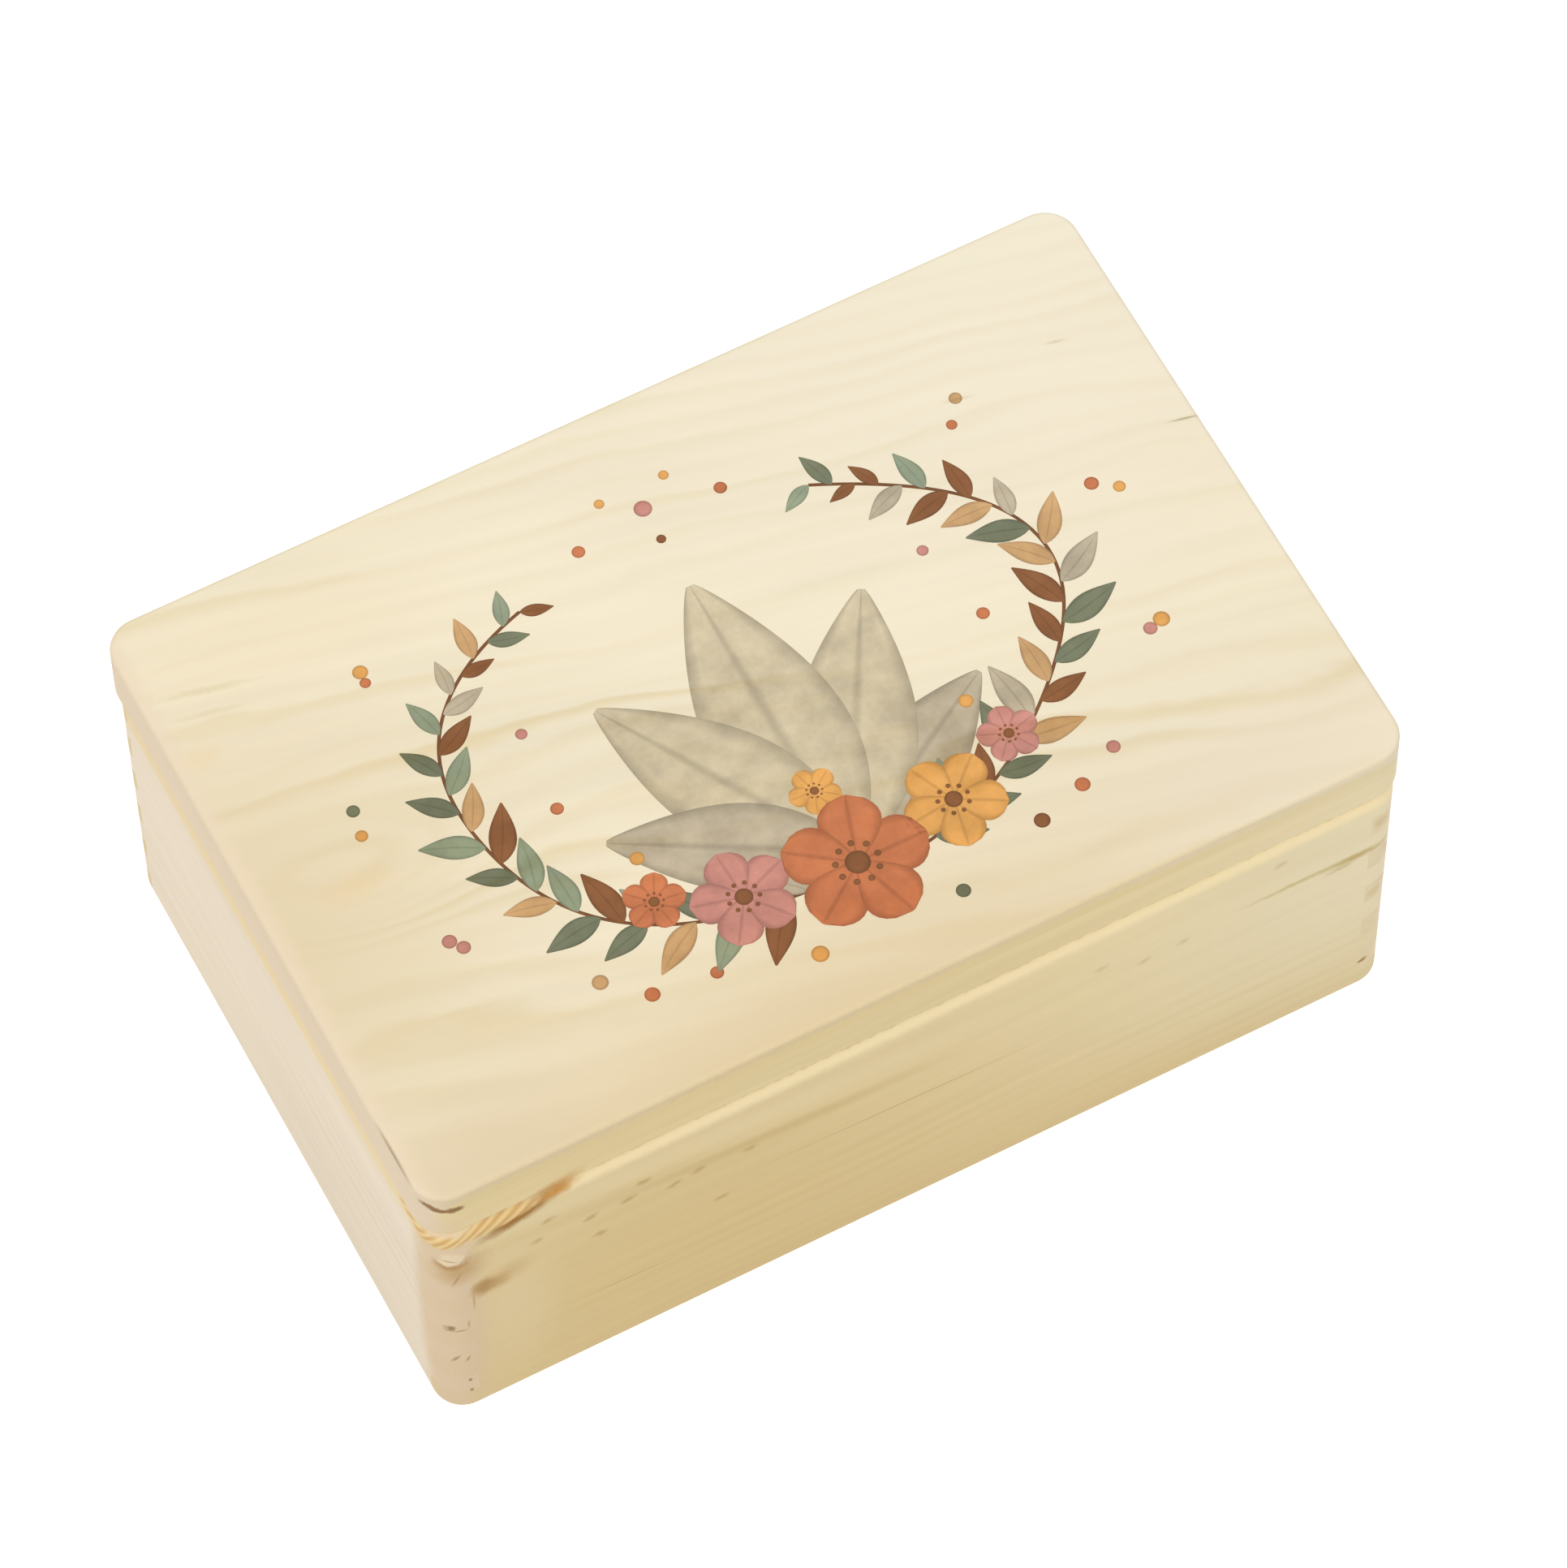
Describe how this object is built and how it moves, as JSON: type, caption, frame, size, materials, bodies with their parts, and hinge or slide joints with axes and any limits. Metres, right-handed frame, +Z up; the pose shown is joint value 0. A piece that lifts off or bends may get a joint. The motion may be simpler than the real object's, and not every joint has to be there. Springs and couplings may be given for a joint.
{
  "type": "keepsake box",
  "caption": "Rectangular hinged box of pale pine boards with finger-jointed corners and a thick round-edged lid that overhangs slightly, for papers and keepsakes.",
  "frame": {"origin": "centre of the box's underside, on the surface that it stands on", "axes": "+Z up, +X to the right along the long side, -Y towards the front, with the hinges at the back on +Y"},
  "size_m": [0.3, 0.2, 0.128],
  "materials": {
    "pine_boards": "sanded, unfinished",
    "pine_lid": "sanded, unfinished",
    "plywood": "sanded, unfinished",
    "hinge_brass": "satin plated",
    "screw_steel": "yellow passivated"
  },
  "bodies": {
    "box": {"front_board": "pine_boards", "back_board": "pine_boards", "left_board": "pine_boards", "right_board": "pine_boards", "bottom_panel": "plywood", "left_hinge_box_leaf": "hinge_brass", "left_hinge_pin": "hinge_brass", "left_hinge_box_screws": "screw_steel", "right_hinge_box_leaf": "hinge_brass", "right_hinge_pin": "hinge_brass", "right_hinge_box_screws": "screw_steel"},
    "lid": {"lid_top_panel": "pine_lid", "lid_front_rail": "pine_lid", "lid_back_rail": "pine_lid", "lid_left_rail": "pine_lid", "lid_right_rail": "pine_lid", "left_hinge_lid_leaf": "hinge_brass", "left_hinge_lid_screws": "screw_steel", "right_hinge_lid_leaf": "hinge_brass", "right_hinge_lid_screws": "screw_steel"}
  },
  "joints": [
    {"name": "lid_hinge", "type": "hinge", "parent": "box", "child": "lid", "pos_m": [0, 0.0983, 0.106], "axis": [-1, 0, 0], "range_deg": [0, 110]}
  ]
}
